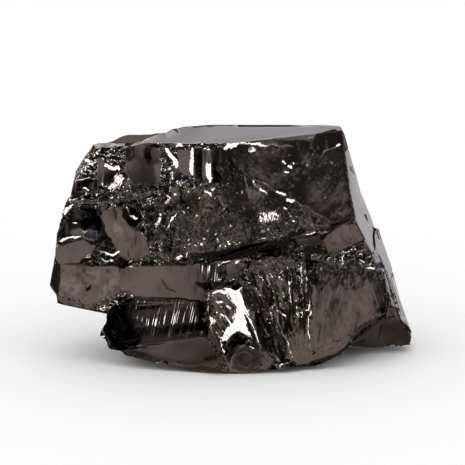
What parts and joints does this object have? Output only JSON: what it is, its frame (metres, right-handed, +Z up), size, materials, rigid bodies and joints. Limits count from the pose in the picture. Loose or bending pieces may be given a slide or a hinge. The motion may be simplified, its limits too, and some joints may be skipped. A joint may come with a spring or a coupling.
{
  "type": "raw shungite lump",
  "caption": "Natural lump of glossy black shungite with flat cleaved faces, shell-shaped fracture hollows and a flat base to rest on.",
  "frame": {"origin": "centre of the bounding box, at the level of the flat base it rests on", "axes": "+X to the right along the longest side, +Y away from the broad fractured front, +Z up"},
  "size_m": [0.0728, 0.045, 0.0453],
  "materials": {
    "shungite": "glassy, near-metallic natural fracture"
  },
  "bodies": {
    "root": {"shungite": "shungite"}
  },
  "joints": []
}
